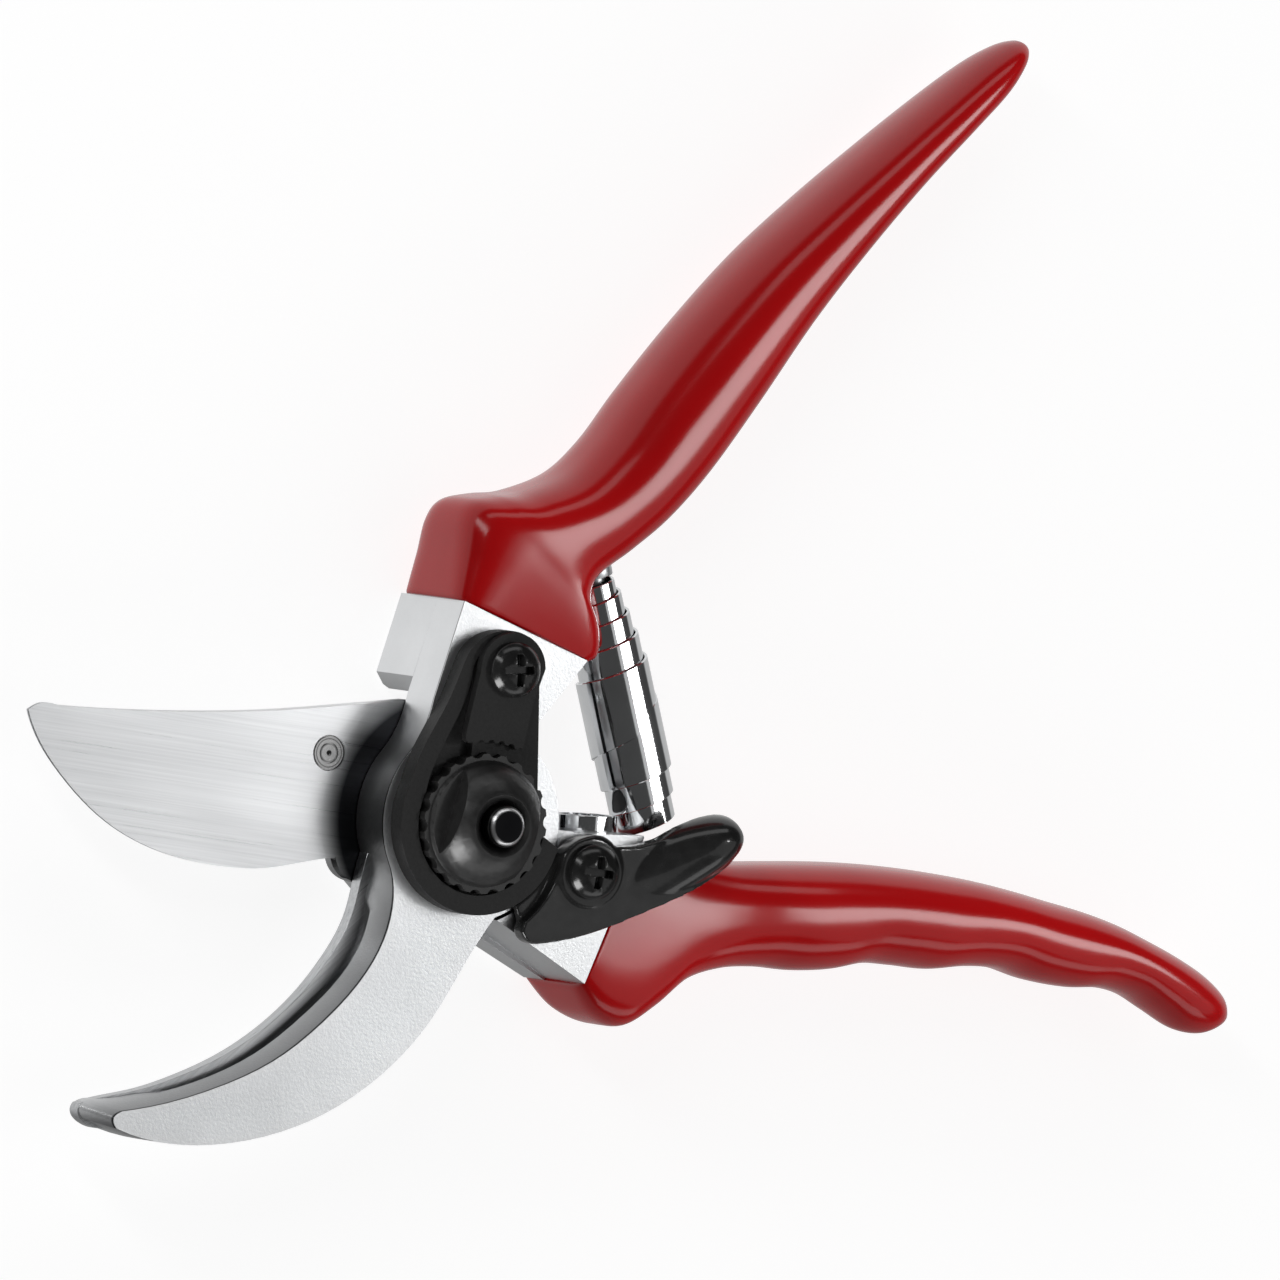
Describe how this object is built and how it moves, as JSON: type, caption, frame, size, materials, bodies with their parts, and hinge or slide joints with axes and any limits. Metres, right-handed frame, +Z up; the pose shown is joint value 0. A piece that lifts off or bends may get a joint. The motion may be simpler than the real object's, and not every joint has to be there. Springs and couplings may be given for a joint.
{
  "type": "pruning shears",
  "caption": "Hand shears with a curved blade that passes a hooked anvil jaw, sprung handles with moulded grips, an adjustable pivot and a thumb latch.",
  "frame": {"origin": "pivot axis at the underside of the pivot bolt's head, the plane the open tool rests on", "axes": "+Z up out of the adjuster nut's side; +X midway between the open handles, towards the grips, jaws towards -X; +Y towards the hook half's handle"},
  "size_m": [0.1855, 0.146, 0.0299],
  "materials": {
    "satin_aluminium": "satin, blasted",
    "red_grip": "gloss vinyl",
    "blade_steel": "brushed lengthwise",
    "black_plate": "fine matte texture",
    "black_nut": "satin",
    "black_screw": "gloss",
    "black_latch": "gloss",
    "chrome": "polished",
    "plain_steel": "turned",
    "cushion_rubber": "matte"
  },
  "bodies": {
    "hook_half": {"hook_frame": "satin_aluminium", "upper_grip": "red_grip", "counter_blade": "blade_steel", "counter_blade_rivets": "plain_steel", "upper_spring_seat": "plain_steel", "cover_plate": "black_plate", "lock_segment": "black_plate", "segment_screw": "black_screw", "nut_washer": "plain_steel", "adjuster_nut": "black_nut", "pivot_bolt": "black_screw", "volute_spring": "chrome"},
    "blade_half": {"blade_frame": "satin_aluminium", "lower_grip": "red_grip", "cutting_blade": "blade_steel", "blade_rivet": "blade_steel", "blade_pins": "plain_steel", "pivot_bush": "plain_steel", "thrust_washer": "plain_steel", "bumper_cup": "chrome", "bumper_cushion": "cushion_rubber", "lower_spring_seat": "plain_steel", "latch_washer": "plain_steel", "latch_screw": "black_screw"},
    "latch": {"latch_lever": "black_latch"}
  },
  "joints": [
    {"name": "handle_pivot", "type": "hinge", "parent": "hook_half", "child": "blade_half", "pos_m": [0, 0, 0.0105], "axis": [0, 0, 1], "range_deg": [0, 50.5], "stiffness_Nm_per_rad": 1.2, "springref_deg": -14.32, "deforming": ["volute_spring"]},
    {"name": "latch_pivot", "type": "hinge", "parent": "blade_half", "child": "latch", "pos_m": [0.01516, -0.01148, 0.021], "axis": [0, 0, 1], "range_deg": [-8, 0]}
  ]
}
